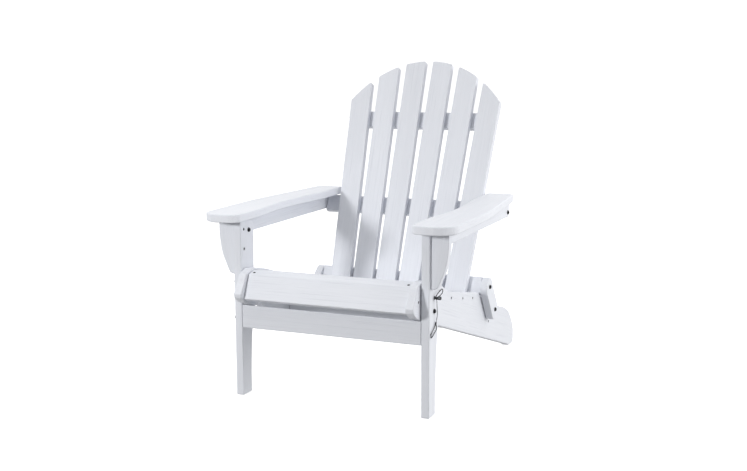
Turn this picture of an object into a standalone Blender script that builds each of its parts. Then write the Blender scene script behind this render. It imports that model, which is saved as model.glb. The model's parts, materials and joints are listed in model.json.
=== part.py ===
"""Folding adirondack chair in white poly lumber.

Metres, +Z up, the sitter faces -Y. Lengths below are measured from the front face of
the legs (Y = 0) and from the ground (Z = 0). One empty shifts the whole chair so that
its overall box is centred on X = 0 and Y = 0.
"""

import math

import bpy
from mathutils import Euler, Vector

# ---------------------------------------------------------------- driving sizes
BOARD = 0.0237            # thickness of every board
GAP = 0.0003              # clearance between pieces that touch
BOARD_GAP = 0.0006        # clearance between boards that slide or butt
SLAT_END_GAP = 0.0010     # clearance at each end of the seat slats and braces
PIVOT_GAP = 0.0026        # gap kept by a washer between leg and seat rail
EDGE = 0.0026             # rounded edge of every board
SMALL_EDGE = 0.0012       # softer edge at the ends of the cross boards

LEG_OUTER = 0.2959        # half distance over the outer faces of the legs
LEG_DEPTH_TOP = 0.0770
LEG_DEPTH_KNEE = 0.0705
LEG_DEPTH_FOOT = 0.0500
LEG_KNEE = 0.2500         # where the rear edge starts to step in
LEG_ANKLE = 0.1370        # where the step ends

APRON_BOTTOM = 0.2000
APRON_SETBACK = 0.0010
APRON_CLEARANCE = 0.0010  # from the apron to the underside of the rails

FOLD_ANGLE = math.radians(56.0)   # leg swing that the relief in the rails allows
LEG_PIVOT = (0.0350, 0.2900)
LOCK_PIN = (0.0370, 0.3260)
ARM_PIVOT_Y = 0.0460
ARM_PIVOT_DROP = 0.0539   # from the armrest's front top to the arm pivot
ARM_REAR_DROP = 0.0477    # and to the pivot at the arm's rear
BACK_PIVOT = (0.5390, 0.2606)
LINK_PIVOT = (0.5966, 0.1780)

RAIL_NOSE_Y = -0.0508     # foremost point of the chair
RAIL_FOOT_Y = 0.8984      # rearmost point of the seat rail
RAIL_SLOPE = 0.3147       # fall of the rail's underside per metre of depth
RAIL_UNDER_0 = 0.2686     # height of that underside at Y = 0
NOTCH_GAP = 0.0022        # between the lower back bar and the hollow in the rail's top
RELIEF_GAP = 0.0012

SLAT_2_REAR = 0.0928      # rear edge of the slat that butts against the nose slat
SLAT_2_GAP = 0.0027       # from the nose slat's cut top to that slat, along Y
SEAT_SLATS = (            # middle depth and width of the seat slats behind those two
    (0.1488, 0.0935),
    (0.2523, 0.0935),
    (0.3558, 0.0935),
    (0.4495, 0.0750),
)
SEAT_SLAT_RECESS = 0.0050
NOSE_FACE_LOW = (-0.0367, 0.2930)
NOSE_FACE_TOP = (-0.0065, 0.3580)
NOSE_TOP_SLOPE = 0.28     # rise of the nose slat's cut top per metre of depth

BACK_SLOPE = 0.4228       # rearward lean of the back per metre of height
BACK_FOOT_Y = 0.3886      # where the front plane of the back meets the ground plane
SLAT_SPACE = 0.0115       # gap between two back slats at PITCH_Z
SLAT_SIDE_GAP = 0.0144    # from the outer slats to the rails at PITCH_Z
SLAT_FAN = 0.0207         # growth of that pitch per metre of height
PITCH_Z = 0.2910
SLAT_BOTTOM_Z = 0.2375
CROWN_Z = 0.9505          # highest point of the back
CROWN_FALL_2 = 1.58       # the crown falls by this times x squared
CROWN_FALL_4 = 4.80       # and by this times x to the fourth
BAR_HEIGHT = 0.0557       # width of the three cross bars, along the back
BAR_CORNER = 0.0050
TOP_BAR_MARGIN = 0.0137   # how far the outer slats reach past the top bar
TOP_BAR_DROP = 0.1814     # from the top of the back to the top bar

ARM_Z = 0.5304            # top of the armrest at its front
ARM_TILT = math.radians(0.75)
ARM_FRONT = -0.0510
ARM_REAR_MARGIN = 0.0133  # from the rear pivot to the end of the armrest
ARM_RAIL_RISE = 0.0070    # rise of the arm rail's lower edge per metre
ARM_RAIL_MARGIN = 0.0183  # from the rear pivot to the end of the arm rail

BRACKET_SETBACK = 0.0080
BRACKET_WIDTH = 0.0508
BRACKET_DROP = 0.1540

LINK_WIDTH = 0.0600
LINK_OVERHANG = 0.0270     # past its lower pivot
LINK_HEAD = 0.0220         # past its upper pivot
LINK_CORNER = 0.0200
LINK_GAP = 0.0015

BRACE_Y = 0.2523          # front brace under the seat
REAR_BRACE = (0.6117, 0.1330)
REAR_BRACE_HEIGHT = 0.0560

SCREW_HEAD = 0.0041
SCREW_SHANK = 0.0022
SCREW_LENGTH = 0.0190
BOLT_HEAD = 0.0058
BOLT_SHANK = 0.0030
PIN_SHANK = 0.0030
PIN_HEAD = 0.0050
LOOP_WIRE = 0.0013        # radius of the pull loop wire

SCREW_SIDES = 10
BOLT_SIDES = 12

# ------------------------------------------------------------- derived planes
LEG_INNER = LEG_OUTER - BOARD
RAIL_OUTER = LEG_INNER - PIVOT_GAP
RAIL_INNER = RAIL_OUTER - BOARD
LINK_INNER = RAIL_OUTER + LINK_GAP
LINK_OUTER = LINK_INNER + BOARD
ARM_RAIL_INNER = LEG_OUTER + 0.0016
ARM_RAIL_OUTER = ARM_RAIL_INNER + BOARD
SLAT_HALF = RAIL_INNER - SLAT_END_GAP
BACK_LEAN = math.atan(BACK_SLOPE)
LEAN_COS = math.cos(BACK_LEAN)
BAR_BEHIND = BOARD + GAP + BOARD / 2     # from the back's front plane to the bars
NOTCH_RADIUS = math.hypot(BAR_HEIGHT, BOARD) / 2 + NOTCH_GAP
TOP_BAR_Z = CROWN_Z - TOP_BAR_DROP
SLAT_PITCH = (RAIL_INNER - SLAT_SIDE_GAP + SLAT_SPACE / 2) / 3
SLAT_WIDTH = SLAT_PITCH - SLAT_SPACE
TOP_PITCH = SLAT_PITCH + SLAT_FAN * (TOP_BAR_Z - PITCH_Z)
TOP_BAR_HALF = 2.5 * TOP_PITCH + SLAT_WIDTH / 2 - TOP_BAR_MARGIN
ARM_PIVOT = (ARM_PIVOT_Y, ARM_Z - ARM_PIVOT_DROP)
ARM_REAR_Z = ARM_Z - ARM_REAR_DROP
ARM_REAR_PIVOT = (
    BACK_FOOT_Y + BACK_SLOPE * ARM_REAR_Z + BAR_BEHIND / LEAN_COS,
    ARM_REAR_Z,
)
ARM_REAR = ARM_REAR_PIVOT[0] + ARM_REAR_MARGIN
ARM_RAIL_REAR = ARM_REAR_PIVOT[0] + ARM_RAIL_MARGIN
REAR_SHIFT = -(RAIL_NOSE_Y + RAIL_FOOT_Y) / 2

SIDE_ON = (math.pi / 2, 0.0, math.pi / 2)      # outline in Y and Z, thickness in X
FACE_ON = (math.pi / 2, 0.0, 0.0)              # outline in X and Z, thickness in Y
BACK_ON = (math.pi / 2 - BACK_LEAN, 0.0, 0.0)  # outline in the plane of the back


# ------------------------------------------------------------------- materials
def material(name, colour, roughness, metallic):
    made = bpy.data.materials.new(name)
    made.use_nodes = True
    shader = made.node_tree.nodes["Principled BSDF"]
    shader.inputs["Base Color"].default_value = (*colour, 1.0)
    shader.inputs["Roughness"].default_value = roughness
    shader.inputs["Metallic"].default_value = metallic
    made.diffuse_color = (*colour, 1.0)
    made.roughness = roughness
    made.metallic = metallic
    return made


WHITE = (0.80, 0.81, 0.84)
DARK_STEEL = (0.10, 0.10, 0.11)
STEEL = (0.42, 0.43, 0.45)


# ---------------------------------------------------------------- 2-D outlines
def rounded(corners, step=math.radians(12)):
    """Outline from (a, b, radius) corners, each one turned by an arc of that radius."""
    outline = []
    count = len(corners)
    for i in range(count):
        before = Vector(corners[i - 1][:2])
        here = Vector(corners[i][:2])
        after = Vector(corners[(i + 1) % count][:2])
        radius = corners[i][2]
        to_before = (before - here).normalized()
        to_after = (after - here).normalized()
        opening = math.acos(max(-1.0, min(1.0, to_before.dot(to_after))))
        turn = math.pi - opening
        if radius <= 0.0 or turn < math.radians(1.0):
            outline.append((here.x, here.y))
            continue
        reach = radius * math.tan(turn / 2)
        start = here + to_before * reach
        end = here + to_after * reach
        centre = here + (to_before + to_after).normalized() * (radius / math.sin(opening / 2))
        first = math.atan2(start.y - centre.y, start.x - centre.x)
        last = math.atan2(end.y - centre.y, end.x - centre.x)
        swing = (last - first + math.pi) % (2 * math.pi) - math.pi
        pieces = max(1, round(abs(swing) / step))
        for k in range(pieces + 1):
            angle = first + swing * k / pieces
            outline.append(
                (centre.x + radius * math.cos(angle), centre.y + radius * math.sin(angle))
            )
    return outline


def arc(centre, radius, first, last, pieces):
    """Points on an arc, angles counted from the first axis."""
    points = []
    for k in range(pieces + 1):
        angle = first + (last - first) * k / pieces
        points.append(
            (centre[0] + radius * math.cos(angle), centre[1] + radius * math.sin(angle))
        )
    return points


def smooth_curve(knots, pieces):
    """Catmull-Rom curve through the knots."""
    points = []
    count = len(knots)
    for i in range(count - 1):
        p0 = Vector(knots[max(i - 1, 0)])
        p1 = Vector(knots[i])
        p2 = Vector(knots[i + 1])
        p3 = Vector(knots[min(i + 2, count - 1)])
        for k in range(pieces):
            t = k / pieces
            point = 0.5 * (
                2 * p1
                + (p2 - p0) * t
                + (2 * p0 - 5 * p1 + 4 * p2 - p3) * t * t
                + (3 * p1 - p0 - 3 * p2 + p3) * t * t * t
            )
            points.append(tuple(point))
    points.append(tuple(knots[-1]))
    return points


def turned_about(points, angle, centre=(0.0, 0.0)):
    cosine, sine = math.cos(angle), math.sin(angle)
    result = []
    for a, b in points:
        da, db = a - centre[0], b - centre[1]
        result.append(
            (centre[0] + cosine * da - sine * db, centre[1] + sine * da + cosine * db)
        )
    return result


def moved(points, by):
    return [(a + by[0], b + by[1]) for a, b in points]


def counter_clockwise(points):
    area = 0.0
    for i in range(len(points)):
        a, b = points[i - 1]
        c, d = points[i]
        area += a * d - b * c
    return points if area > 0 else points[::-1]


def bar_section(width, thickness, radius=0.004):
    return rounded(
        [
            (-width / 2, -thickness / 2, radius),
            (width / 2, -thickness / 2, radius),
            (width / 2, thickness / 2, radius),
            (-width / 2, thickness / 2, radius),
        ],
        math.radians(30),
    )


def crossing(place, along, other, other_along):
    """Point where two straight lines cross."""
    place, along = Vector(place), Vector(along)
    other, other_along = Vector(other), Vector(other_along)
    share = (other - place).cross(other_along) / along.cross(other_along)
    return place + along * share


def swung(point, angle, pivot):
    """A point in Y and Z after its piece has swung by an angle about a pivot."""
    return Vector(turned_about([tuple(point)], angle, pivot)[0])


# ------------------------------------------------------------------ 3-D solids
def add_object(name, verts, faces, parent, place, rotation, look):
    mesh = bpy.data.meshes.new(name)
    mesh.from_pydata(verts, [], faces)
    mesh.validate()
    mesh.update()
    obj = bpy.data.objects.new(name, mesh)
    bpy.context.scene.collection.objects.link(obj)
    obj.rotation_euler = Euler(rotation)
    if parent is None:
        obj.location = Vector(place)
    else:
        obj.parent = parent
        obj.location = Vector(place) - PLACES[parent.name]
    if look is not None:
        colour, roughness, metallic = look
        mesh.materials.append(material(name + "_material", colour, roughness, metallic))
    return obj


def prism(outline, low, high):
    outline = counter_clockwise(outline)
    count = len(outline)
    verts = [(a, b, low) for a, b in outline] + [(a, b, high) for a, b in outline]
    faces = [tuple(range(count - 1, -1, -1)), tuple(range(count, 2 * count))]
    for i in range(count):
        j = (i + 1) % count
        faces.append((i, j, count + j, count + i))
    return verts, faces


def board(name, outline, thickness, parent, place, rotation, edge=EDGE):
    """A flat board with its outline in local X and Y and rounded edges."""
    verts, faces = prism(outline, -thickness / 2, thickness / 2)
    obj = add_object(name, verts, faces, parent, place, rotation, (WHITE, 0.45, 0.0))
    soften = obj.modifiers.new("edge", "BEVEL")
    soften.width = edge
    soften.segments = 2
    soften.limit_method = "ANGLE"
    soften.angle_limit = math.radians(40)
    soften.use_clamp_overlap = True
    return obj


def lathe(rings, sides):
    """Closed solid turned about local Z from (radius, z, shape) rings, low z to high z
    on the outside and back down inside a socket. Shape is 'round' or 'hex'."""
    verts, faces = [], []
    for radius, z, shape in rings:
        for k in range(sides):
            angle = 2 * math.pi * k / sides
            reach = radius
            if shape == "hex":
                off = (angle + math.pi / 6) % (math.pi / 3) - math.pi / 6
                reach = radius / math.cos(off)
            verts.append((reach * math.cos(angle), reach * math.sin(angle), z))
    for r in range(len(rings) - 1):
        for k in range(sides):
            m = (k + 1) % sides
            faces.append(
                (r * sides + k, r * sides + m, (r + 1) * sides + m, (r + 1) * sides + k)
            )
    faces.append(tuple(range(sides - 1, -1, -1)))
    last = (len(rings) - 1) * sides
    faces.append(tuple(range(last, last + sides)))
    return verts, faces


def joined(solids):
    """One cutter mesh out of several separate (verts, faces) solids."""
    verts, faces = [], []
    for more_verts, more_faces in solids:
        start = len(verts)
        verts += more_verts
        faces += [tuple(start + i for i in face) for face in more_faces]
    return verts, faces


def placed(solid, place, rotation):
    turn = Euler(rotation).to_matrix()
    verts, faces = solid
    return [tuple(turn @ Vector(v) + Vector(place)) for v in verts], faces


def smooth(obj):
    for polygon in obj.data.polygons:
        polygon.use_smooth = len(polygon.vertices) == 4


def wire(points, radius, sides=8, closed=False):
    """Round wire along a list of 3-D points."""
    verts, faces = [], []
    count = len(points)
    previous = None
    for i in range(count):
        ahead = Vector(points[(i + 1) % count if closed else min(i + 1, count - 1)])
        behind = Vector(points[i - 1 if closed else max(i - 1, 0)])
        along = (ahead - behind).normalized()
        if previous is None:
            helper = Vector((0, 0, 1)) if abs(along.z) < 0.9 else Vector((1, 0, 0))
            across = along.cross(helper).normalized()
        else:
            across = (previous - along * previous.dot(along)).normalized()
        previous = across
        other = along.cross(across)
        for k in range(sides):
            angle = 2 * math.pi * k / sides
            offset = across * math.cos(angle) + other * math.sin(angle)
            verts.append(tuple(Vector(points[i]) + offset * radius))
    spans = count if closed else count - 1
    for i in range(spans):
        n = (i + 1) % count
        for k in range(sides):
            m = (k + 1) % sides
            faces.append((i * sides + k, i * sides + m, n * sides + m, n * sides + k))
    if not closed:
        faces.append(tuple(range(sides - 1, -1, -1)))
        faces.append(tuple(range((count - 1) * sides, count * sides)))
    return verts, faces


# --------------------------------------------------------------------- drilling
def facing(side):
    """Rotation that points local +Z outward on side +1 (right) or -1 (left)."""
    return (0.0, side * math.pi / 2, 0.0)


def drill(obj, bores):
    """Cuts all bores from the board in one Boolean. A bore is a world-placed solid."""
    cutter = add_object(
        obj.name + "_bores", *joined(bores), None, (0.0, REAR_SHIFT, 0.0), (0, 0, 0), None
    )
    cutter.hide_render = True
    cutter.display_type = "WIRE"
    cut = obj.modifiers.new("bores", "BOOLEAN")
    cut.operation = "DIFFERENCE"
    cut.solver = "EXACT"
    cut.object = cutter


def plain_bore(radius, length, place, rotation, sides=BOLT_SIDES):
    rings = [(radius, -length / 2, "round"), (radius, length / 2, "round")]
    return placed(lathe(rings, sides), place, rotation)


def screw_solid():
    """Countersunk socket screw, head face at z = 0, shank towards -Z."""
    return lathe(
        [
            (SCREW_SHANK * 0.6, -SCREW_LENGTH, "round"),
            (SCREW_SHANK, -SCREW_LENGTH + 0.002, "round"),
            (SCREW_SHANK, -0.0032, "round"),
            (SCREW_HEAD, -0.0009, "round"),
            (SCREW_HEAD, -0.0001, "round"),
            (SCREW_HEAD * 0.55, 0.0, "round"),
            (SCREW_HEAD * 0.50, -0.0016, "round"),
        ],
        SCREW_SIDES,
    )


def screw_bore():
    """The countersunk hole that a screw sits in, with clearance all round."""
    play = 0.0004
    return lathe(
        [
            (SCREW_SHANK + play, -SCREW_LENGTH - 0.0008, "round"),
            (SCREW_SHANK + play, -0.0030, "round"),
            (SCREW_HEAD + play, -0.0008, "round"),
            (SCREW_HEAD + play, 0.0050, "round"),
        ],
        SCREW_SIDES,
    )


SCREW_SUNK = 0.0008       # how far a screw head sits below the face


def screw_seat(place, rotation):
    outward = Euler(rotation).to_matrix() @ Vector((0, 0, 1))
    return tuple(Vector(place) - outward * SCREW_SUNK)


def screw(name, parent, place, rotation):
    obj = add_object(
        name, *screw_solid(), parent, screw_seat(place, rotation), rotation,
        (DARK_STEEL, 0.42, 0.9),
    )
    smooth(obj)
    return obj


def screw_hole(place, rotation):
    return placed(screw_bore(), screw_seat(place, rotation), rotation)


def bolt_solid(grip, far_head):
    """Button head bolt. The head seats at z = 0 and the shank runs to z = -grip. A far
    head closes it beyond the grip when far_head is its radius."""
    if far_head > 0:
        rings = [
            (far_head * 0.45, -grip - 0.0036, "round"),
            (far_head, -grip - 0.0026, "round"),
            (far_head, -grip - GAP, "round"),
            (BOLT_SHANK, -grip - GAP, "round"),
        ]
    else:
        rings = [
            (BOLT_SHANK * 0.7, -grip, "round"),
            (BOLT_SHANK, -grip + 0.001, "round"),
        ]
    rings += [
        (BOLT_SHANK, GAP, "round"),
        (BOLT_HEAD * 1.16, GAP, "round"),
        (BOLT_HEAD * 1.16, 0.0013, "round"),
        (BOLT_HEAD, 0.0014, "round"),
        (BOLT_HEAD, 0.0026, "round"),
        (BOLT_HEAD * 0.78, 0.0046, "round"),
        (BOLT_HEAD * 0.40, 0.0052, "hex"),
        (BOLT_HEAD * 0.40, 0.0028, "hex"),
    ]
    return lathe(rings, BOLT_SIDES)


def bolt(name, parent, place, side, grip, far_head=0.0):
    solid = bolt_solid(grip, far_head)
    obj = add_object(name, *solid, parent, place, facing(side), (DARK_STEEL, 0.38, 0.9))
    smooth(obj)
    return obj


def pin_bore(x):
    return plain_bore(PIN_SHANK + 0.0006, 0.06, (x, *LOCK_PIN), facing(1))


def bolt_bore(place, length):
    return plain_bore(BOLT_SHANK + 0.0005, length, place, facing(1))


# ----------------------------------------------------------------- clear scene
for old in list(bpy.data.objects):
    bpy.data.objects.remove(old, do_unlink=True)

# ------------------------------------------------------------- joint-axis empties
PLACES = {}


def axis_empty(name, parent, place):
    empty = bpy.data.objects.new(name, None)
    empty.empty_display_size = 0.04
    bpy.context.scene.collection.objects.link(empty)
    PLACES[name] = Vector(place)
    if parent is None:
        empty.location = Vector((0.0, REAR_SHIFT, 0.0))
    else:
        empty.parent = parent
        empty.location = Vector(place) - PLACES[parent.name]
    return empty


chair = axis_empty("chair", None, (0, 0, 0))
legs_axis = axis_empty("legs_axis", chair, (0, *LEG_PIVOT))
arms_axis = axis_empty("arms_axis", legs_axis, (0, *ARM_PIVOT))
links_axis = axis_empty("links_axis", chair, (0, *LINK_PIVOT))
back_axis = axis_empty("back_axis", links_axis, (0, *BACK_PIVOT))
pin_axes = {
    side: axis_empty(f"pin_axis_{word}", legs_axis, (side * LEG_OUTER, *LOCK_PIN))
    for side, word in ((1, "right"), (-1, "left"))
}
SIDES = ((1, "right"), (-1, "left"))


# -------------------------------------------------------------------- seat rails
def rail_underside(y):
    return RAIL_UNDER_0 - RAIL_SLOPE * y


RAIL_TOP = [
    (0.0147, 0.3711),
    (0.0430, 0.3685),
    (0.0718, 0.3632),
    (0.1040, 0.3555),
    (0.1354, 0.3463),
    (0.1621, 0.3368),
    (0.2000, 0.3180),
    (0.2370, 0.3015),
    (0.3000, 0.2885),
    (0.3536, 0.2770),
    (0.4582, 0.2569),
    (0.5030, 0.2480),
    (0.6000, 0.2095),
]

apron_rear_top = rail_underside(BOARD) - APRON_CLEARANCE
apron_front_top = rail_underside(APRON_SETBACK) - APRON_CLEARANCE
UNDER_ALONG = (1.0, -RAIL_SLOPE)


def relief():
    """Hollow in the rail's underside that the apron swings into as the legs fold."""
    pivot = Vector(LEG_PIVOT)
    corner = Vector((BOARD, apron_rear_top))
    radius = (corner - pivot).length - RELIEF_GAP
    under = Vector((0.0, rail_underside(0.0)))
    along = Vector(UNDER_ALONG).normalized()
    foot = under + along * (pivot - under).dot(along)
    start = foot + along * math.sqrt(max(radius**2 - (foot - pivot).length**2, 1e-8))
    end = swung(corner, FOLD_ANGLE, LEG_PIVOT)
    low = swung((BOARD, APRON_BOTTOM), FOLD_ANGLE, LEG_PIVOT)
    face = (low - end).normalized()
    away = Vector((-face.y, face.x))
    if away.y < 0:
        away = -away
    last = math.atan2(end.y - pivot.y, end.x - pivot.x)
    first = math.atan2(start.y - pivot.y, start.x - pivot.x)
    points = arc(LEG_PIVOT, radius, first, last, 5)
    points.append(tuple(end + away * RELIEF_GAP + face * 0.0020))
    points.append(tuple(crossing(end + away * RELIEF_GAP, face, under, along)))
    return points


def notch():
    """Hollow in the rail's top round the pivot of the back."""
    pivot = Vector(BACK_PIVOT)
    line = Vector(RAIL_TOP[-2])
    along = (Vector(RAIL_TOP[-1]) - line).normalized()
    foot = line + along * (pivot - line).dot(along)
    half = math.sqrt(NOTCH_RADIUS**2 - (foot - pivot).length**2)
    start, end = foot - along * half - pivot, foot + along * half - pivot
    return arc(
        BACK_PIVOT, NOTCH_RADIUS, math.atan2(start.y, start.x), math.atan2(end.y, end.x), 7
    )


def rail_outline():
    top = smooth_curve(RAIL_TOP[:-1], 2)
    hollow = notch()
    top = [p for p in top if p[0] < hollow[0][0] - 0.002]
    heel = rounded(
        [
            (*hollow[-1], 0.0),
            (0.6000, 0.2095, 0.080),
            (0.7034, 0.1660, 0.100),
            (0.7895, 0.1432, 0.120),
            (0.8388, 0.1213, 0.050),
            (RAIL_FOOT_Y - 0.0143, 0.0750, 0.060),
            (RAIL_FOOT_Y, 0.0450, 0.030),
            (RAIL_FOOT_Y, 0.0, 0.014),
            (0.8460, 0.0, 0.012),
            (0.8140, 0.0125, 0.200),
            (0.6347, rail_underside(0.6347), 0.0),
        ],
        math.radians(14),
    )
    nose = rounded(
        [
            (0.0100, rail_underside(0.0100), 0.0),
            (-0.0294, 0.2818, 0.020),
            (-0.0484, 0.2962, 0.009),
            (-0.0507, 0.3088, 0.004),
            (-0.0310, 0.3365, 0.060),
            (-0.0198, 0.3600, 0.016),
            (0.0147, 0.3711, 0.0),
        ],
        math.radians(14),
    )
    return top + hollow + heel[1:] + relief()[::-1] + nose[:-1]


RAIL_CENTRE_X = (RAIL_INNER + RAIL_OUTER) / 2


# --------------------------------------------------------------------- seat slats
SEAT_LINE = smooth_curve(RAIL_TOP[:-1], 8)


def seat_line(y):
    """Height of the rail's top edge at a depth."""
    for (y0, z0), (y1, z1) in zip(SEAT_LINE, SEAT_LINE[1:]):
        if y0 <= y <= y1:
            return z0 + (z1 - z0) * (y - y0) / (y1 - y0)
    return SEAT_LINE[-1][1]


def slat_station(y, width):
    """Centre and tilt of a seat slat whose middle lies at depth y."""
    half = width / 2 * 0.95
    z_front, z_rear = seat_line(y - half), seat_line(y + half)
    tilt = math.atan2(z_rear - z_front, 2 * half)
    middle = min(seat_line(y), (z_front + z_rear) / 2)
    drop = SEAT_SLAT_RECESS + BOARD / 2
    return y, middle - drop / math.cos(tilt), tilt


def cross_board(name, section, half_length, parent, centre):
    """A board across the chair, with its section in Y and Z."""
    return board(
        name, section, 2 * half_length, parent, (0.0, *centre), SIDE_ON, SMALL_EDGE
    )


# The nose slat's top is cut level with the seat, so that the next slat butts against it.
nose_low = Vector(NOSE_FACE_LOW)
nose_top = Vector(NOSE_FACE_TOP)
nose_up = (nose_top - nose_low).normalized()
nose_inward = Vector((nose_up.y, -nose_up.x))
nose_back_top = crossing(
    nose_low + nose_inward * BOARD, nose_up, nose_top, (1.0, NOSE_TOP_SLOPE)
)
nose_section = rounded(
    [
        (*nose_low, 0.003),
        (*(nose_low + nose_inward * BOARD), 0.003),
        (*nose_back_top, 0.0015),
        (*nose_top, 0.0055),
    ],
    math.radians(22),
)
nose_centre = (nose_low + nose_top + nose_inward * BOARD) / 2
nose_slat = cross_board(
    "seat_slat_1_nose", moved(nose_section, (-nose_centre.x, -nose_centre.y)), SLAT_HALF,
    chair, nose_centre,
)
ridge_place = nose_top + (nose_back_top - nose_top) * 0.46
ridge_tilt = math.atan2(nose_back_top.y - nose_top.y, nose_back_top.x - nose_top.x)
RIDGE_SCREW_X = 0.2340
drill(
    nose_slat,
    [
        screw_hole((x, *ridge_place), (ridge_tilt, 0.0, 0.0))
        for x in (-RIDGE_SCREW_X, RIDGE_SCREW_X)
    ],
)

slat_2_front = nose_back_top.x + SLAT_2_GAP
slat_2 = ((slat_2_front + SLAT_2_REAR) / 2, SLAT_2_REAR - slat_2_front)
stations = []
for number, (depth, width) in enumerate((slat_2, *SEAT_SLATS), 2):
    y, z, tilt = slat_station(depth, width)
    stations.append((y, z))
    section = turned_about(bar_section(width, BOARD), tilt)
    cross_board(f"seat_slat_{number}", section, SLAT_HALF, chair, (y, z))

# ------------------------------------------------------------- braces under the seat
brace_top = stations[2][1] - BOARD / 2 - 0.0045
brace_low = rail_underside(BRACE_Y) + 0.0030
brace_centre = (BRACE_Y, (brace_top + brace_low) / 2)
cross_board(
    "seat_brace_front", turned_about(bar_section(brace_top - brace_low, BOARD), math.pi / 2),
    SLAT_HALF, chair, brace_centre,
)
rear_section = turned_about(
    bar_section(REAR_BRACE_HEIGHT, BOARD), math.pi / 2 - math.atan(RAIL_SLOPE)
)
cross_board("seat_brace_rear", rear_section, SLAT_HALF, chair, REAR_BRACE)

SCREWED = (
    ("nose", tuple(nose_centre)),
    ("slat_4", stations[2]),
    ("slat_5", stations[3]),
    ("slat_6", stations[4]),
    ("brace", REAR_BRACE),
)
rail_shape = rail_outline()
for side, word in SIDES:
    rail = board(
        f"seat_rail_{word}", rail_shape, BOARD, chair,
        (side * RAIL_CENTRE_X, 0.0, 0.0), SIDE_ON,
    )
    bores = []
    for target, place in SCREWED:
        face = (side * RAIL_OUTER, *place)
        screw(f"rail_screw_{target}_{word}", chair, face, facing(side))
        bores.append(screw_hole(face, facing(side)))
    bores.append(bolt_bore((side * RAIL_CENTRE_X, *LEG_PIVOT), 0.06))
    bores.append(bolt_bore((side * RAIL_CENTRE_X, *LINK_PIVOT), 0.06))
    bores.append(pin_bore(side * RAIL_CENTRE_X))
    drill(rail, bores)


# -------------------------------------------------------------------------- legs
def arm_top(y):
    """Height of the armrest's upper face at a depth."""
    return ARM_Z + (y - ARM_FRONT) * math.tan(ARM_TILT)


def arm_under(y):
    return arm_top(y) - BOARD / math.cos(ARM_TILT)


LEG_TOP = arm_under(0.0) - BOARD_GAP


def leg_outline():
    radius = LEG_DEPTH_TOP - ARM_PIVOT[0]
    crown = arc(ARM_PIVOT, radius, math.asin(1.0) * 0.98, 0.0, 6)
    step = smooth_curve(
        [
            (LEG_DEPTH_TOP - 0.0020, 0.4100),
            (LEG_DEPTH_KNEE, LEG_KNEE),
            (LEG_DEPTH_KNEE - 0.0055, LEG_KNEE - 0.0320),
            (LEG_DEPTH_FOOT + 0.0093, LEG_ANKLE + 0.0400),
            (LEG_DEPTH_FOOT + 0.0050, LEG_ANKLE),
            (LEG_DEPTH_FOOT + 0.0013, LEG_ANKLE - 0.0570),
            (LEG_DEPTH_FOOT, LEG_ANKLE - 0.0970),
        ],
        2,
    )
    foot = rounded(
        [
            (LEG_DEPTH_FOOT, 0.0250, 0.0),
            (LEG_DEPTH_FOOT, 0.0, 0.0030),
            (0.0, 0.0, 0.0030),
            (0.0, LEG_TOP, 0.0030),
            (ARM_PIVOT[0] - 0.0060, LEG_TOP, 0.0),
        ],
        math.radians(30),
    )
    return crown + step + foot[1:]


leg_shape = leg_outline()
LEG_CENTRE_X = (LEG_INNER + LEG_OUTER) / 2
BRACKET_CENTRE_Y = BRACKET_SETBACK + BOARD / 2
BRACKET_SCREW_Z = (LEG_TOP - 0.0252, LEG_TOP - 0.0816)
APRON_SCREW = (APRON_SETBACK + BOARD / 2, 0.2300)

for side, word in SIDES:
    origin = (side * LEG_CENTRE_X, *LEG_PIVOT)
    shape = moved(leg_shape, (-LEG_PIVOT[0], -LEG_PIVOT[1]))
    leg = board(f"front_leg_{word}", shape, BOARD, legs_axis, origin, SIDE_ON)
    bores = []
    for number, z in enumerate(BRACKET_SCREW_Z, 1):
        face = (side * LEG_INNER, BRACKET_CENTRE_Y, z)
        screw(f"bracket_screw_{number}_{word}", legs_axis, face, facing(-side))
        bores.append(screw_hole(face, facing(-side)))
    face = (side * LEG_OUTER, *APRON_SCREW)
    screw(f"apron_screw_{word}", legs_axis, face, facing(side))
    bores.append(screw_hole(face, facing(side)))
    bores.append(bolt_bore((side * LEG_CENTRE_X, *LEG_PIVOT), 0.06))
    bores.append(bolt_bore((side * LEG_CENTRE_X, *ARM_PIVOT), 0.06))
    bores.append(pin_bore(side * LEG_CENTRE_X))
    drill(leg, bores)
    bolt(
        f"leg_pivot_bolt_{word}", legs_axis, (side * LEG_OUTER, *LEG_PIVOT), side,
        LEG_OUTER - RAIL_INNER, BOLT_HEAD,
    )

# ------------------------------------------------------------------------- apron
apron_section = rounded(
    [
        (APRON_SETBACK, APRON_BOTTOM, 0.0030),
        (BOARD, APRON_BOTTOM, 0.0030),
        (BOARD, apron_rear_top, 0.0010),
        (APRON_SETBACK, apron_front_top, 0.0025),
    ],
    math.radians(30),
)
apron_centre = (BOARD / 2, (apron_front_top + APRON_BOTTOM) / 2)
board(
    "front_apron", moved(apron_section, (-apron_centre[0], -apron_centre[1])),
    2 * (LEG_INNER - BOARD_GAP), legs_axis, (0.0, *apron_centre), SIDE_ON, SMALL_EDGE,
)


# ------------------------------------------------------------ brackets under the arms
BRACKET_EDGE = (          # how far the curved edge has come in, at each drop from the top
    (0.0003, 0.0200),
    (0.0010, 0.0450),
    (0.0065, 0.0840),
    (0.0130, 0.1060),
    (0.0235, 0.1310),
)


def bracket_outline():
    """Outline in X and Z for the right side, X counted from the leg's outer face."""
    top = LEG_TOP
    curve = smooth_curve([(BRACKET_WIDTH - a, top - b) for a, b in BRACKET_EDGE], 2)
    toe = rounded(
        [
            (*curve[-1], 0.0),
            (BRACKET_WIDTH - 0.0330, top - BRACKET_DROP, 0.016),
            (0.0, top - BRACKET_DROP, 0.0),
        ],
        math.radians(18),
    )
    return [(0.0, top), (BRACKET_WIDTH, top)] + curve + toe[1:]


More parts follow.
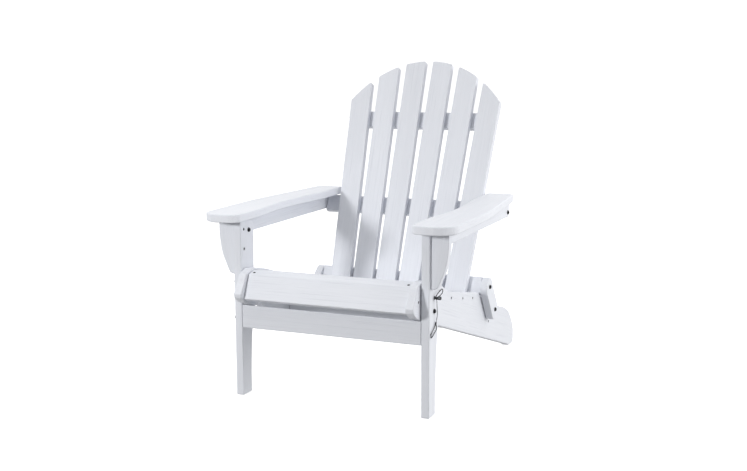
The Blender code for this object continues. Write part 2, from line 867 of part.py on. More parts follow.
for side, word in SIDES:
    shape = [(side * a, b) for a, b in bracket_outline()]
    board(
        f"arm_bracket_{word}", moved(shape, (0.0, -LEG_TOP)), BOARD, legs_axis,
        (side * (LEG_OUTER + GAP), BRACKET_CENTRE_Y, LEG_TOP), FACE_ON,
    )

# -------------------------------------------------------------------------- arms
ARM_OUTER = [             # outward of the leg's outer face, and depth
    (0.0803, 0.0200),
    (0.0811, 0.1300),
    (0.0806, 0.2500),
    (0.0741, 0.3300),
    (0.0641, 0.4250),
    (0.0541, 0.5200),
    (0.0441, 0.6150),
]
ARM_INNER = [             # the same on the inner edge, from rear to front
    (-0.0429, 0.6150),
    (-0.0419, 0.5100),
    (-0.0379, 0.4400),
    (-0.0299, 0.3600),
    (-0.0254, 0.3000),
    (-0.0251, 0.2400),
    (-0.0289, 0.1800),
    (-0.0339, 0.1300),
    (-0.0389, 0.0700),
    (-0.0399, 0.0200),
    (-0.0391, -0.0100),
]


def arm_outline():
    front = rounded(
        [
            (*ARM_INNER[-1], 0.0),
            (-0.0379, ARM_FRONT + 0.0060, 0.0260),
            (0.0160, ARM_FRONT - 0.0010, 0.1000),
            (0.0798, ARM_FRONT + 0.0060, 0.0560),
            (*ARM_OUTER[0], 0.0),
        ],
        math.radians(12),
    )
    rear = rounded(
        [
            (*ARM_OUTER[-1], 0.0),
            (ARM_OUTER[-1][0] - 0.0025, ARM_REAR, 0.0180),
            (ARM_INNER[0][0], ARM_REAR, 0.0080),
            (*ARM_INNER[0], 0.0),
        ],
        math.radians(18),
    )
    outer = smooth_curve(ARM_OUTER, 2)
    inner = smooth_curve(ARM_INNER, 2)
    return front[1:-1] + outer + rear[1:-1] + inner


arm_shape = arm_outline()
ARM_ORIGIN_Y = ARM_PIVOT[0]
arm_centre_z = arm_top(ARM_ORIGIN_Y) - BOARD / 2 / math.cos(ARM_TILT)


def arm_rail_outline():
    """Board under the armrest. Its front end is rounded about the arm pivot."""
    front_y = BRACKET_SETBACK + BOARD + 0.0008
    nose_radius = ARM_PIVOT[0] - front_y
    low = ARM_PIVOT[1] - nose_radius
    nose = arc(ARM_PIVOT, nose_radius, -math.pi / 2, -math.pi, 6)
    rear = rounded(
        [
            (front_y + 0.05, arm_under(front_y + 0.05) - BOARD_GAP, 0.0),
            (ARM_RAIL_REAR, arm_under(ARM_RAIL_REAR) - BOARD_GAP, 0.0040),
            (ARM_RAIL_REAR, low + (ARM_RAIL_REAR - ARM_PIVOT[0]) * ARM_RAIL_RISE, 0.0140),
            (ARM_PIVOT[0], low, 0.0),
        ],
        math.radians(18),
    )
    return nose + [(front_y, arm_under(front_y) - BOARD_GAP)] + rear[1:-1]


arm_rail_shape = moved(arm_rail_outline(), (-ARM_PIVOT[0], -ARM_PIVOT[1]))
ARM_RAIL_X = (ARM_RAIL_INNER + ARM_RAIL_OUTER) / 2

for side, word in SIDES:
    shape = [(side * x, (y - ARM_ORIGIN_Y) / math.cos(ARM_TILT)) for x, y in arm_shape]
    board(
        f"armrest_{word}", shape, BOARD, arms_axis,
        (side * LEG_OUTER, ARM_ORIGIN_Y, arm_centre_z), (ARM_TILT, 0.0, 0.0), 0.0030,
    )
    arm_rail = board(
        f"arm_rail_{word}", arm_rail_shape, BOARD, arms_axis,
        (side * ARM_RAIL_X, *ARM_PIVOT), SIDE_ON,
    )
    drill(
        arm_rail,
        [
            bolt_bore((side * ARM_RAIL_X, *ARM_PIVOT), 0.06),
            bolt_bore((side * ARM_RAIL_X, *ARM_REAR_PIVOT), 0.06),
        ],
    )
    bolt(
        f"arm_pivot_bolt_{word}", arms_axis, (side * LEG_INNER, *ARM_PIVOT), -side,
        ARM_RAIL_OUTER - LEG_INNER, BOLT_HEAD,
    )
    bolt(
        f"arm_rear_bolt_{word}", arms_axis, (side * ARM_RAIL_OUTER, *ARM_REAR_PIVOT), side,
        BOARD - 0.0006,
    )

# -------------------------------------------------------------------------- back
def back_point(x, z, behind):
    """World point on the back: height on its front plane, then straight back from it."""
    y = BACK_FOOT_Y + BACK_SLOPE * z
    return (x, y + behind * LEAN_COS, z - behind * math.sin(BACK_LEAN))


def slat_shape(number):
    """Outline of one slat in X and length along the back, and the middle of its foot."""
    splay = math.atan(number * SLAT_FAN * LEAN_COS)
    reach = SLAT_WIDTH / 2 / math.cos(splay)

    def across(z):
        return number * (SLAT_PITCH + SLAT_FAN * (z - PITCH_Z))

    def crown(offset):
        z = CROWN_Z
        for _ in range(6):
            x = across(z) + offset
            z = CROWN_Z - CROWN_FALL_2 * x**2 - CROWN_FALL_4 * x**4
        return across(z) + offset, z / LEAN_COS

    foot = SLAT_BOTTOM_Z / LEAN_COS
    base = across(SLAT_BOTTOM_Z)
    corners = [(base - reach, foot, 0.003), (base + reach, foot, 0.003)]
    corners.append((*crown(reach), 0.004))
    for share in (0.5, 0.0, -0.5):
        corners.append((*crown(reach * share), 0.0))
    corners.append((*crown(-reach), 0.004))
    return rounded(corners, math.radians(45)), Vector((base, foot))


BACK_NUMBERS = [k - 2.5 for k in range(6)]
for k, number in enumerate(BACK_NUMBERS, 1):
    outline, base = slat_shape(number)
    foot_world = back_point(base.x, SLAT_BOTTOM_Z, BOARD / 2)
    board(
        f"back_slat_{k}", moved(outline, (-base.x, -base.y)), BOARD,
        back_axis, foot_world, BACK_ON,
    )



def bar_height_at(pivot):
    """Height on the front plane of the back that lies level with a pivot."""
    away = (pivot[0] - BACK_FOOT_Y - BACK_SLOPE * pivot[1]) * LEAN_COS
    return pivot[1] + away * math.sin(BACK_LEAN)


bar_shape = turned_about(
    bar_section(BAR_HEIGHT, BOARD, BAR_CORNER), math.pi / 2 - BACK_LEAN
)
top_centre = back_point(0.0, TOP_BAR_Z, BAR_BEHIND)
middle_centre = back_point(0.0, bar_height_at(ARM_REAR_PIVOT), BAR_BEHIND)
lower_centre = back_point(0.0, bar_height_at(BACK_PIVOT), BAR_BEHIND)
LOWER_BAR_HALF = LINK_INNER - BOARD_GAP
cross_board("back_bar_top", bar_shape, TOP_BAR_HALF, back_axis, top_centre[1:])
cross_board(
    "back_bar_middle", bar_shape, ARM_RAIL_INNER - BOARD_GAP, back_axis, middle_centre[1:]
)
lower_bar = cross_board(
    "back_bar_lower", bar_shape, LOWER_BAR_HALF, back_axis, lower_centre[1:]
)
drill(lower_bar, [bolt_bore((side * LOWER_BAR_HALF, *BACK_PIVOT), 0.062) for side in (1, -1)])


# ------------------------------------------------------------------------- links
def link_outline():
    top = Vector(BACK_PIVOT)
    foot = Vector(LINK_PIVOT)
    along = (top - foot).normalized()
    across = Vector((along.y, -along.x))
    half = LINK_WIDTH / 2
    high = top + along * LINK_HEAD
    low = foot - along * LINK_OVERHANG
    corners = [
        (*(low - across * half), LINK_CORNER),
        (*(low + across * half), LINK_CORNER),
        (*(high + across * half), LINK_CORNER),
        (*(high - across * half), LINK_CORNER),
    ]
    return moved(rounded(corners, math.radians(18)), (-foot.x, -foot.y))


link_shape = link_outline()
LINK_X = (LINK_INNER + LINK_OUTER) / 2
for side, word in SIDES:
    link = board(
        f"back_link_{word}", link_shape, BOARD, links_axis,
        (side * LINK_X, *LINK_PIVOT), SIDE_ON,
    )
    drill(
        link,
        [
            bolt_bore((side * LINK_X, *LINK_PIVOT), 0.06),
            bolt_bore((side * LINK_X, *BACK_PIVOT), 0.06),
        ],
    )
    bolt(
        f"link_foot_bolt_{word}", links_axis, (side * LINK_OUTER, *LINK_PIVOT), side,
        LINK_OUTER - RAIL_INNER, BOLT_HEAD,
    )
    bolt(
        f"link_top_bolt_{word}", links_axis, (side * LINK_OUTER, *BACK_PIVOT), side,
        BOARD + 0.0250,
    )


# -------------------------------------------------------------------- lock pins
def pin_solid():
    """Lock pin along local Z, its collar seated at z = 0 on the leg's outer face."""
    return lathe(
        [
            (PIN_SHANK * 0.55, -BOARD + 0.0006, "round"),
            (PIN_SHANK, -BOARD + 0.0026, "round"),
            (PIN_SHANK, GAP, "round"),
            (PIN_HEAD, GAP, "round"),
            (PIN_HEAD, 0.0020, "round"),
            (PIN_SHANK, 0.0026, "round"),
            (PIN_SHANK, 0.0092, "round"),
            (PIN_HEAD, 0.0102, "round"),
            (PIN_HEAD, 0.0182, "round"),
            (PIN_HEAD * 0.80, 0.0194, "round"),
            (PIN_HEAD * 0.35, 0.0198, "round"),
            (PIN_HEAD * 0.35, 0.0180, "round"),
        ],
        BOLT_SIDES,
    )


PULL_LOOP = (             # outward, rearward and upward of the pin, once round the loop
    (0.0070, 0.0000, -0.0050),
    (0.0068, -0.0042, -0.0028),
    (0.0066, -0.0052, 0.0015),
    (0.0070, -0.0030, 0.0070),
    (0.0085, 0.0040, 0.0120),
    (0.0105, 0.0130, 0.0160),
    (0.0120, 0.0215, 0.0200),
    (0.0128, 0.0280, 0.0190),
    (0.0128, 0.0315, 0.0140),
    (0.0120, 0.0290, 0.0080),
    (0.0100, 0.0220, 0.0040),
    (0.0080, 0.0120, 0.0010),
    (0.0070, 0.0056, -0.0010),
    (0.0070, 0.0036, -0.0036),
)


def pull_loop(side):
    """Tear-drop loop of stiff wire that hangs round the neck of the pin."""
    knots = [(side * x, y, z) for x, y, z in PULL_LOOP]
    points = []
    count = len(knots)
    for k in range(count):
        span = smooth_curve([knots[k - 1], knots[k], knots[(k + 1) % count],
                             knots[(k + 2) % count]], 2)
        points += span[2:4]
    return wire(points, LOOP_WIRE, 6, True)


for side, word in SIDES:
    axis = pin_axes[side]
    origin = PLACES[axis.name]
    pin = add_object(
        f"lock_pin_{word}", *pin_solid(), axis, origin, facing(side), (STEEL, 0.35, 1.0)
    )
    smooth(pin)
    loop = add_object(
        f"pull_loop_{word}", *pull_loop(side), axis, origin, (0, 0, 0),
        (DARK_STEEL, 0.4, 0.9),
    )
    smooth(loop)
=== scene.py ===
import json
import math

import bmesh
import bpy
import numpy as np
from mathutils import Matrix, Vector

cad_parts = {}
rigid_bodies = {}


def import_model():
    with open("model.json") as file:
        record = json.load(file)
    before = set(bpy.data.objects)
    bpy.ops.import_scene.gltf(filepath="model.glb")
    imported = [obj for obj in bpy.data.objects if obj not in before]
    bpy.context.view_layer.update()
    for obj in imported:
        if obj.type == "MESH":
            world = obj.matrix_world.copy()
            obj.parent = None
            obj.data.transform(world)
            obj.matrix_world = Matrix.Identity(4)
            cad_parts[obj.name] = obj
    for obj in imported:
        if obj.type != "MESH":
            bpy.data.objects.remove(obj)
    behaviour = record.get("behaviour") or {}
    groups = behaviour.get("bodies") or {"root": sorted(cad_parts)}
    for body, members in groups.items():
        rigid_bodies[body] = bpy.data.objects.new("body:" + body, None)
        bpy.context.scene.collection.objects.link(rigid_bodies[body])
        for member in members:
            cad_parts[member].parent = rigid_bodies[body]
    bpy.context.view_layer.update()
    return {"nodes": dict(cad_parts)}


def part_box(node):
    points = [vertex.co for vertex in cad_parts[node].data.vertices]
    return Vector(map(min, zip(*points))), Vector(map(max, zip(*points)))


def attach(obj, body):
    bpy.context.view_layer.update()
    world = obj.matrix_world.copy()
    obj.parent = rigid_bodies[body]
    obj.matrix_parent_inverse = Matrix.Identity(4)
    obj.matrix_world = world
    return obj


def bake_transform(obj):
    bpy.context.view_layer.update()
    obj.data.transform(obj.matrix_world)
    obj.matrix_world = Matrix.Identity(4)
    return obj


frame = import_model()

# Lengths in metres. A pair is a depth behind the legs' front faces and a height.
LEG_FRONT_Y = -0.4238
BOARD = 0.0237
LEG_OUTER = 0.2959
LEG_RAIL_GAP = 0.0026
RAIL_OUTER = LEG_OUTER - BOARD - LEG_RAIL_GAP
LEG_PIVOT = (0.0350, 0.2900)
LINK_PIVOT = (0.5966, 0.1780)
NOSE_SLOPE = math.atan(0.28)
BACK_LEAN = math.atan(0.4228)
SIDES = ((1, "right"), (-1, "left"))

# The back slats spread upward: their pitch is SLAT_PITCH at SLAT_FOOT_Z and grows with height.
SLATS = 6
SLAT_PITCH = 0.0791
SLAT_FAN = 0.0207
SLAT_FOOT_Z = 0.2910

CAMERA_TURN = (23.1996, 8.9175, -0.1779)
CAMERA_PLACE = (1.2933, -2.7008, 0.9514)
CAMERA_LENS = 53.63


def at(x, y, z):
    """World point from a depth counted from the legs' front faces."""
    return Vector((x, y + LEG_FRONT_Y, z))


# ------------------------------------------------------------------------ camera
def make_camera():
    """The photograph's camera, turned by yaw, pitch and roll."""
    yaw, pitch, roll = (math.radians(angle) for angle in CAMERA_TURN)
    forward = Vector(
        (-math.sin(yaw) * math.cos(pitch), math.cos(yaw) * math.cos(pitch), -math.sin(pitch))
    )
    right = Vector((math.cos(yaw), math.sin(yaw), 0.0))
    up = right.cross(forward)
    right_rolled = right * math.cos(roll) + up * math.sin(roll)
    up_rolled = up * math.cos(roll) - right * math.sin(roll)
    data = bpy.data.cameras.new("camera")
    data.sensor_width = 36.0
    data.lens = CAMERA_LENS
    data.clip_end = 100.0
    camera = bpy.data.objects.new("camera", data)
    bpy.context.scene.collection.objects.link(camera)
    turn = Matrix((right_rolled, up_rolled, -forward)).transposed().to_4x4()
    camera.matrix_world = Matrix.Translation(at(*CAMERA_PLACE)) @ turn
    bpy.context.scene.camera = camera


make_camera()


# --------------------------------------------------------------------- materials
def ramp_node(tree, value, low, high, to_low, to_high):
    """Smooth step of value between two levels."""
    made = tree.nodes.new("ShaderNodeMapRange")
    made.interpolation_type = "SMOOTHSTEP"
    for name, number in (
        ("From Min", low), ("From Max", high), ("To Min", to_low), ("To Max", to_high)
    ):
        made.inputs[name].default_value = number
    tree.links.new(value, made.inputs["Value"])
    return made.outputs["Result"]


class Graph:
    """A material, with short calls for building its node tree."""

    def __init__(self, name):
        self.material = bpy.data.materials.new(name)
        self.material.use_nodes = True
        self.tree = self.material.node_tree
        self.shader = self.tree.nodes["Principled BSDF"]

    def node(self, kind, **settings):
        made = self.tree.nodes.new(kind)
        for key, value in settings.items():
            setattr(made, key, value)
        return made

    def link(self, output, target):
        self.tree.links.new(output, target)

    def math(self, operation, a, b):
        made = self.node("ShaderNodeMath", operation=operation)
        for socket, value in zip(made.inputs, (a, b)):
            if isinstance(value, float):
                socket.default_value = value
            else:
                self.link(value, socket)
        return made.outputs[0]

    def noise(self, vector, scale, detail=2.0, roughness=0.55, distortion=0.0):
        stretch = self.node("ShaderNodeMapping")
        stretch.inputs["Scale"].default_value = scale
        self.link(vector, stretch.inputs["Vector"])
        made = self.node("ShaderNodeTexNoise")
        made.inputs["Scale"].default_value = 1.0
        made.inputs["Detail"].default_value = detail
        made.inputs["Roughness"].default_value = roughness
        made.inputs["Distortion"].default_value = distortion
        self.link(stretch.outputs["Vector"], made.inputs["Vector"])
        return made.outputs["Fac"]

    def remap(self, value, low, high, to_low, to_high):
        return ramp_node(self.tree, value, low, high, to_low, to_high)


def board_axes(obj):
    """Long, middle and short directions of a board."""
    points = np.array([tuple(v.co) for v in obj.data.vertices])
    points = points - (points.max(axis=0) + points.min(axis=0)) / 2
    _, vectors = np.linalg.eigh(points.T @ points)
    return [Vector(vectors[:, k]) for k in (2, 1, 0)]


WHITE = (0.800, 0.818, 0.866)
SHADE = (0.640, 0.660, 0.712)


def poly_lumber(name, axes, seed):
    """Extruded white poly lumber, brushed with a wood grain along the board."""
    g = Graph(name)
    place = g.node("ShaderNodeTexCoord").outputs["Object"]
    joined = g.node("ShaderNodeCombineXYZ")
    for axis, socket in zip(axes, joined.inputs):
        along = g.node("ShaderNodeVectorMath", operation="DOT_PRODUCT")
        along.inputs[1].default_value = axis
        g.link(place, along.inputs[0])
        g.link(along.outputs["Value"], socket)
    moved = g.node("ShaderNodeMapping")
    moved.inputs["Location"].default_value = (seed * 3.17, seed * 1.93, seed * 0.71)
    g.link(joined.outputs["Vector"], moved.inputs["Vector"])
    grain = moved.outputs["Vector"]

    lines = g.noise(grain, (5.0, 330.0, 330.0), 3.0, 0.62, 0.25)
    fibres = g.noise(grain, (26.0, 900.0, 900.0), 2.0, 0.5)
    bands = g.noise(grain, (1.6, 60.0, 60.0), 3.0, 0.55, 0.6)
    cloud = g.noise(grain, (4.0, 9.0, 9.0), 2.0, 0.5)
    deep = g.remap(lines, 0.56, 0.74, 0.0, 1.0)
    fine = g.remap(fibres, 0.45, 0.75, 0.0, 1.0)
    broad = g.remap(bands, 0.35, 0.70, 0.0, 1.0)
    soft = g.remap(cloud, 0.30, 0.70, 0.0, 1.0)
    dark = g.math("MULTIPLY", deep, 0.46)
    dark = g.math("ADD", dark, g.math("MULTIPLY", fine, 0.16))
    dark = g.math("ADD", dark, g.math("MULTIPLY", broad, 0.13))
    dark = g.math("ADD", dark, g.math("MULTIPLY", soft, 0.08))

    tone = 1.0 + 0.018 * math.sin(seed * 2.4)
    mix = g.node("ShaderNodeMix", data_type="RGBA")
    mix.inputs[6].default_value = (*(c * tone for c in WHITE), 1.0)
    mix.inputs[7].default_value = (*(c * tone for c in SHADE), 1.0)
    g.link(dark, mix.inputs[0])
    g.link(mix.outputs[2], g.shader.inputs["Base Color"])

    rough = g.remap(lines, 0.35, 0.70, 0.40, 0.60)
    g.link(rough, g.shader.inputs["Roughness"])
    g.shader.inputs["Specular IOR Level"].default_value = 0.42

    round_edge = g.node("ShaderNodeBevel", samples=4)
    round_edge.inputs["Radius"].default_value = 0.0016
    height = g.math("ADD", g.math("MULTIPLY", deep, -1.0), g.math("MULTIPLY", fine, -0.35))
    height = g.math("ADD", height, g.math("MULTIPLY", broad, -0.4))
    bump = g.node("ShaderNodeBump")
    bump.inputs["Strength"].default_value = 0.55
    bump.inputs["Distance"].default_value = 0.00035
    g.link(height, bump.inputs["Height"])
    g.link(round_edge.outputs["Normal"], bump.inputs["Normal"])
    g.link(bump.outputs["Normal"], g.shader.inputs["Normal"])
    return g.material


def metal(name, colour, roughness, metallic, scratch=900.0):
    """Plated or oxidised steel with fine handling marks."""
    g = Graph(name)
    place = g.node("ShaderNodeTexCoord").outputs["Object"]
    marks = g.noise(place, (scratch, scratch * 0.4, scratch), 3.0, 0.6)
    patch = g.noise(place, (160.0, 160.0, 160.0), 2.0, 0.5)
    mix = g.node("ShaderNodeMix", data_type="RGBA")
    mix.inputs[6].default_value = (*colour, 1.0)
    mix.inputs[7].default_value = (*(min(1.0, c * 2.2 + 0.02) for c in colour), 1.0)
    g.link(g.remap(patch, 0.45, 0.75, 0.0, 0.6), mix.inputs[0])
    g.link(mix.outputs[2], g.shader.inputs["Base Color"])
    g.link(g.remap(marks, 0.3, 0.7, roughness - 0.08, roughness + 0.14),
           g.shader.inputs["Roughness"])
    g.shader.inputs["Metallic"].default_value = metallic
    bump = g.node("ShaderNodeBump")
    bump.inputs["Strength"].default_value = 0.25
    bump.inputs["Distance"].default_value = 0.0001
    g.link(marks, bump.inputs["Height"])
    g.link(bump.outputs["Normal"], g.shader.inputs["Normal"])
    return g.material


BLACK_OXIDE = metal("black_oxide", (0.030, 0.030, 0.034), 0.42, 0.75)
PIN_STEEL = metal("pin_steel", (0.085, 0.087, 0.093), 0.36, 0.95)
WIRE_STEEL = metal("wire_steel", (0.30, 0.31, 0.33), 0.42, 0.85, 1500.0)
NYLON = metal("washer_nylon", (0.55, 0.56, 0.58), 0.55, 0.0)


def paint(obj, material):
    if not obj.material_slots:
        obj.data.materials.append(material)
    for slot in obj.material_slots:
        slot.material = material


def is_board(name):
    return not any(word in name for word in ("screw", "bolt", "lock_pin", "pull_loop"))


for seed, name in enumerate(sorted(frame["nodes"]), 1):
    part = bpy.data.objects[name]
    if is_board(name):
        paint(part, poly_lumber("poly_" + name, board_axes(part), seed))
    elif "lock_pin" in name:
        paint(part, PIN_STEEL)
    else:
        paint(part, BLACK_OXIDE)


# -------------------------------------------------------------------- new pieces
def finished(name, bm, material, crease=None):
    """Smooth object made from bm, with sharp edges where the faces turn more than crease degrees."""
    mesh = bpy.data.meshes.new(name)
    bm.to_mesh(mesh)
    bm.free()
    mesh.shade_smooth()
    if crease is not None:
        mesh.set_sharp_from_angle(angle=math.radians(crease))
    obj = bpy.data.objects.new(name, mesh)
    bpy.context.scene.collection.objects.link(obj)
    paint(obj, material)
    return obj


def stand(obj, centre, axis):
    """Puts obj's own origin at centre and its +Z along axis."""
    turn = Vector((0, 0, 1)).rotation_difference(Vector(axis).normalized())
    obj.matrix_world = Matrix.Translation(Vector(centre)) @ turn.to_matrix().to_4x4()


def lathed(name, profile, centre, axis, material, body, sides=24):
    """A turned piece from (radius, height, shape) rings along an axis."""
    bm = bmesh.new()
    rings = []
    for radius, height, shape in profile:
        ring = []
        for k in range(sides):
            angle = 2 * math.pi * k / sides
            reach = radius
            if shape == "hex":
                reach = radius / math.cos((angle + math.pi / 6) % (math.pi / 3) - math.pi / 6)
            ring.append(bm.verts.new((reach * math.cos(angle), reach * math.sin(angle), height)))
        rings.append(ring)
    for low, high in zip(rings, rings[1:]):
        for k in range(sides):
            m = (k + 1) % sides
            bm.faces.new((low[k], low[m], high[m], high[k]))
    bm.faces.new(rings[0][::-1])
    bm.faces.new(rings[-1])
    obj = finished(name, bm, material, 35)
    stand(obj, centre, axis)
    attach(obj, body)


FLUSH_SCREW = [
    (0.0021, -0.0100, "round"),
    (0.0022, -0.0030, "round"),
    (0.0043, -0.0009, "round"),
    (0.0044, -0.0001, "round"),
    (0.0041, 0.0001, "round"),
    (0.0023, 0.0001, "hex"),
    (0.0022, -0.0016, "hex"),
]
PAN_SCREW = [
    (0.0022, -0.0100, "round"),
    (0.0022, -0.0004, "round"),
    (0.0046, 0.0001, "round"),
    (0.0048, 0.0010, "round"),
    (0.0044, 0.0020, "round"),
    (0.0030, 0.0026, "round"),
    (0.0021, 0.0027, "hex"),
    (0.0020, 0.0010, "hex"),
]

# Screws down through the top of the nose slat, one near each end.
RIDGE_SCREW = (0.2340, 0.00748, 0.36191)
RIDGE_SCREW_SINK = 0.0009
for side, word in SIDES:
    ridge = at(side * RIDGE_SCREW[0], *RIDGE_SCREW[1:])
    up = Vector((0.0, -math.sin(NOSE_SLOPE), math.cos(NOSE_SLOPE)))
    lathed(f"ridge_screw_{word}", FLUSH_SCREW, ridge - up * RIDGE_SCREW_SINK, up, BLACK_OXIDE,
           "seat_frame")

# Screws from the rails into seat slats 2 and 3.
SLAT_SCREWS = ((2, 0.0595, 0.3450), (3, 0.1488, 0.3210))
for number, y, z in SLAT_SCREWS:
    for side, word in SIDES:
        lathed(f"slat_screw_{number}_{word}", FLUSH_SCREW, at(side * RAIL_OUTER, y, z),
               (side, 0, 0), BLACK_OXIDE, "seat_frame")

# Screws through the back bars into the slats, one for each slat.
SCREW_ROW_LIFT = 0.0140
behind = Vector((0.0, math.cos(BACK_LEAN), -math.sin(BACK_LEAN)))
for bar in ("top", "middle", "lower"):
    low, high = (Vector(corner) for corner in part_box(f"back_bar_{bar}"))
    centre = (low + high) / 2
    pitch = SLAT_PITCH + SLAT_FAN * (centre.z + SCREW_ROW_LIFT - SLAT_FOOT_Z)
    for k in range(SLATS):
        x = (k - (SLATS - 1) / 2) * pitch
        spot = Vector((x, centre.y, centre.z)) + behind * (BOARD / 2)
        lathed(f"back_screw_{bar}_{k + 1}", PAN_SCREW, spot, behind, BLACK_OXIDE, "back", 16)


WASHER_BORE = 0.0048
WASHER_RIM = 0.0110
WASHER_FACE = 0.0105
WASHER_CHAMFER = 0.0003


def washer(name, centre, axis, thickness, body, sides=28):
    """Flat ring with a chamfered rim, from centre along axis."""
    bm = bmesh.new()
    section = (
        (WASHER_BORE, 0.0),
        (WASHER_FACE, 0.0),
        (WASHER_RIM, WASHER_CHAMFER),
        (WASHER_RIM, thickness - WASHER_CHAMFER),
        (WASHER_FACE, thickness),
        (WASHER_BORE, thickness),
    )
    rings = []
    for radius, height in section:
        rings.append([
            bm.verts.new((radius * math.cos(2 * math.pi * k / sides),
                          radius * math.sin(2 * math.pi * k / sides), height))
            for k in range(sides)
        ])
    for a, b in zip(rings, rings[1:] + rings[:1]):
        for k in range(sides):
            m = (k + 1) % sides
            bm.faces.new((a[k], a[m], b[m], b[k]))
    bmesh.ops.recalc_face_normals(bm, faces=bm.faces[:])
    obj = finished(name, bm, NYLON, 40)
    stand(obj, centre, axis)
    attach(obj, body)


# Nylon washers between the seat rails and the legs, and between the seat rails and the links.
LEG_WASHER_THICK = 0.0020
LEG_WASHER_SEAT = 0.0003
LINK_WASHER_THICK = 0.0011
LINK_WASHER_SEAT = 0.0002
for side, word in SIDES:
    washer(f"leg_washer_{word}", at(side * (RAIL_OUTER + LEG_WASHER_SEAT), *LEG_PIVOT),
           (side, 0, 0), LEG_WASHER_THICK, "legs")
    washer(f"link_washer_{word}", at(side * (RAIL_OUTER + LINK_WASHER_SEAT), *LINK_PIVOT),
           (side, 0, 0), LINK_WASHER_THICK, "links")


# ---------------------------------------------------------------------- lanyards
def tube(name, points, radius, material, sides=10, closed=False):
    """Round wire swept along points."""
    bm = bmesh.new()
    count = len(points)
    rings = []
    across = None
    for k in range(count):
        if closed:
            step = points[(k + 1) % count] - points[k - 1]
        else:
            step = points[min(k + 1, count - 1)] - points[max(k - 1, 0)]
        step.normalize()
        if across is None:
            across = step.cross(Vector((1, 0, 0)) if abs(step.x) < 0.8 else Vector((0, 1, 0)))
        across = (across - step * across.dot(step)).normalized()
        other = step.cross(across)
        rings.append([
            bm.verts.new(points[k] + across * math.cos(2 * math.pi * j / sides) * radius
                         + other * math.sin(2 * math.pi * j / sides) * radius)
            for j in range(sides)
        ])
    pairs = list(zip(rings, rings[1:]))
    if closed:
        pairs.append((rings[-1], rings[0]))
    for a, b in pairs:
        for j in range(sides):
            m = (j + 1) % sides
            bm.faces.new((a[j], a[m], b[m], b[j]))
    if not closed:
        bm.faces.new(rings[0][::-1])
        bm.faces.new(rings[-1])
    bmesh.ops.recalc_face_normals(bm, faces=bm.faces[:])
    return finished(name, bm, material)


def curve_through(knots, pieces, closed=False):
    """Smooth curve through the knots, with that many pieces between two of them."""
    points = []
    count = len(knots)
    for i in range(count if closed else count - 1):
        if closed:
            p0, p1, p2, p3 = (knots[(i + k) % count] for k in (-1, 0, 1, 2))
        else:
            p0, p1 = knots[max(i - 1, 0)], knots[i]
            p2, p3 = knots[i + 1], knots[min(i + 2, count - 1)]
        for k in range(pieces):
            t = k / pieces
            points.append(0.5 * (2 * p1 + (p2 - p0) * t + (2 * p0 - 5 * p1 + 4 * p2 - p3) * t * t
                                 + (3 * p1 - p0 - 3 * p2 + p3) * t ** 3))
    if not closed:
        points.append(knots[-1].copy())
    return points


# Knots are distances outward from the leg's outer face, depths and heights.
STRAND_RADIUS = 0.0010
FERRULE_RADIUS = 0.0021
LOOP_RADIUS = 0.0012
STRAND_KNOTS = (
    (0.0070, 0.0374, 0.3208), (0.0076, 0.0378, 0.3080), (0.0078, 0.0390, 0.2950),
    (0.0076, 0.0405, 0.2800), (0.0052, 0.0418, 0.2660), (0.0034, 0.0420, 0.2560),
)
FERRULE_KNOTS = ((0.0034, 0.0420, 0.2585), (0.0032, 0.0418, 0.2560), (0.0031, 0.0414, 0.2500))
LOOP_KNOTS = (
    (0.0030, 0.0415, 0.2510), (0.0028, 0.0270, 0.2440), (0.0026, 0.0130, 0.2360),
    (0.0024, 0.0060, 0.2285), (0.0024, 0.0085, 0.2230), (0.0026, 0.0180, 0.2250),
    (0.0028, 0.0330, 0.2310), (0.0030, 0.0460, 0.2370), (0.0030, 0.0480, 0.2450),
)


def beside_leg(side, knots):
    """World points of the knots, on one side of the chair."""
    return [at(side * (LEG_OUTER + x), y, z) for x, y, z in knots]


for side, word in SIDES:
    strand = curve_through(beside_leg(side, STRAND_KNOTS), 6)
    cable = tube(f"lanyard_strand_{word}", strand, STRAND_RADIUS, WIRE_STEEL)
    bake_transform(cable)
    crimp = curve_through(beside_leg(side, FERRULE_KNOTS), 4)
    ferrule = tube(f"lanyard_ferrule_{word}", crimp, FERRULE_RADIUS, PIN_STEEL, 12)
    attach(ferrule, "legs")
    eye = curve_through(beside_leg(side, LOOP_KNOTS), 5, True)
    loop = tube(f"lanyard_loop_{word}", eye, LOOP_RADIUS, PIN_STEEL, 8, True)
    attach(loop, "legs")


# ------------------------------------------------------------------ floor and light
FLOOR_HALF = 14.0
FLOOR_Z = -0.0006


def make_floor():
    """Pale floor that glows a little, so that only soft shadows show on it."""
    bm = bmesh.new()
    bmesh.ops.create_grid(bm, x_segments=2, y_segments=2, size=FLOOR_HALF)
    g = Graph("floor")
    g.shader.inputs["Base Color"].default_value = (0.90, 0.90, 0.90, 1.0)
    g.shader.inputs["Roughness"].default_value = 0.95
    g.shader.inputs["Specular IOR Level"].default_value = 0.0
    g.shader.inputs["Emission Color"].default_value = (1.0, 1.0, 1.0, 1.0)
    g.shader.inputs["Emission Strength"].default_value = 0.58
    floor = finished("floor", bm, g.material)
    floor.location.z = FLOOR_Z
    floor.visible_diffuse = False
    floor.visible_glossy = False


make_floor()


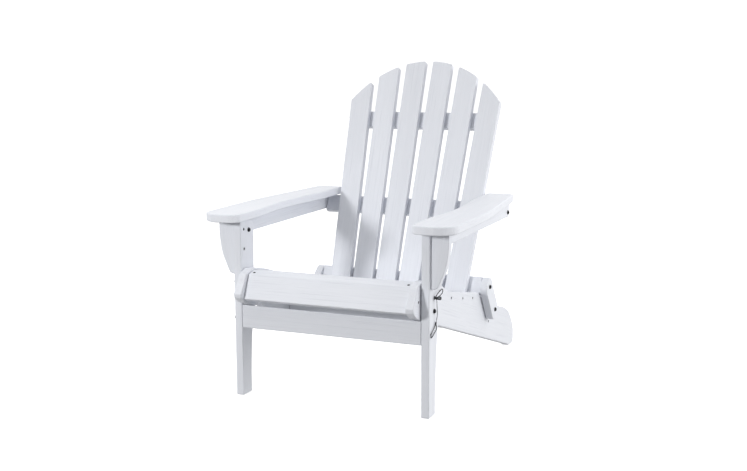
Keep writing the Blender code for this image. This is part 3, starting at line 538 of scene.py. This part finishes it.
def make_world():
    """A white studio: bright behind the chair, darker behind the camera and below the horizon."""
    world = bpy.data.worlds.new("studio")
    world.use_nodes = True
    bpy.context.scene.world = world
    tree = world.node_tree
    background = tree.nodes["Background"]
    place = tree.nodes.new("ShaderNodeTexCoord")
    parts = tree.nodes.new("ShaderNodeSeparateXYZ")
    tree.links.new(place.outputs["Generated"], parts.inputs["Vector"])
    both = tree.nodes.new("ShaderNodeMath")
    both.operation = "MULTIPLY"
    tree.links.new(ramp_node(tree, parts.outputs["Y"], -0.65, 0.45, 0.34, 1.15), both.inputs[0])
    tree.links.new(ramp_node(tree, parts.outputs["Z"], -0.40, 0.05, 0.66, 1.0), both.inputs[1])
    tree.links.new(both.outputs["Value"], background.inputs["Strength"])
    backdrop = tree.nodes.new("ShaderNodeBackground")
    is_camera = tree.nodes.new("ShaderNodeLightPath").outputs["Is Camera Ray"]
    chosen = tree.nodes.new("ShaderNodeMixShader")
    for output, target in zip(
        (is_camera, background.outputs[0], backdrop.outputs[0]), chosen.inputs
    ):
        tree.links.new(output, target)
    tree.links.new(chosen.outputs[0], tree.nodes["World Output"].inputs["Surface"])
    for light in (background, backdrop):
        light.inputs["Color"].default_value = (1.0, 1.0, 1.0, 1.0)
    backdrop.inputs["Strength"].default_value = 1.1


make_world()


def soft_light(name, place, target, size, power):
    """Area light at place, facing target, with its size in metres and its power in watts."""
    data = bpy.data.lights.new(name, "AREA")
    data.shape = "RECTANGLE"
    data.size, data.size_y = size
    data.energy = power
    lamp = bpy.data.objects.new(name, data)
    bpy.context.scene.collection.objects.link(lamp)
    lamp.location = place
    lamp.rotation_mode = "QUATERNION"
    lamp.rotation_quaternion = (Vector(target) - Vector(place)).to_track_quat("-Z", "Y")


soft_light("key_softbox", (-1.60, -4.20, 1.50), (0.0, 0.0, 0.40), (0.5, 0.5), 94.0)
soft_light("right_softbox", (3.2, 0.3, 1.2), (0.0, 0.0, 0.35), (1.8, 1.8), 42.0)
soft_light("top_softbox", (-0.4, -2.0, 4.4), (0.0, 0.0, 0.4), (1.8, 1.8), 17.0)

bpy.context.scene.view_settings.view_transform = "Standard"
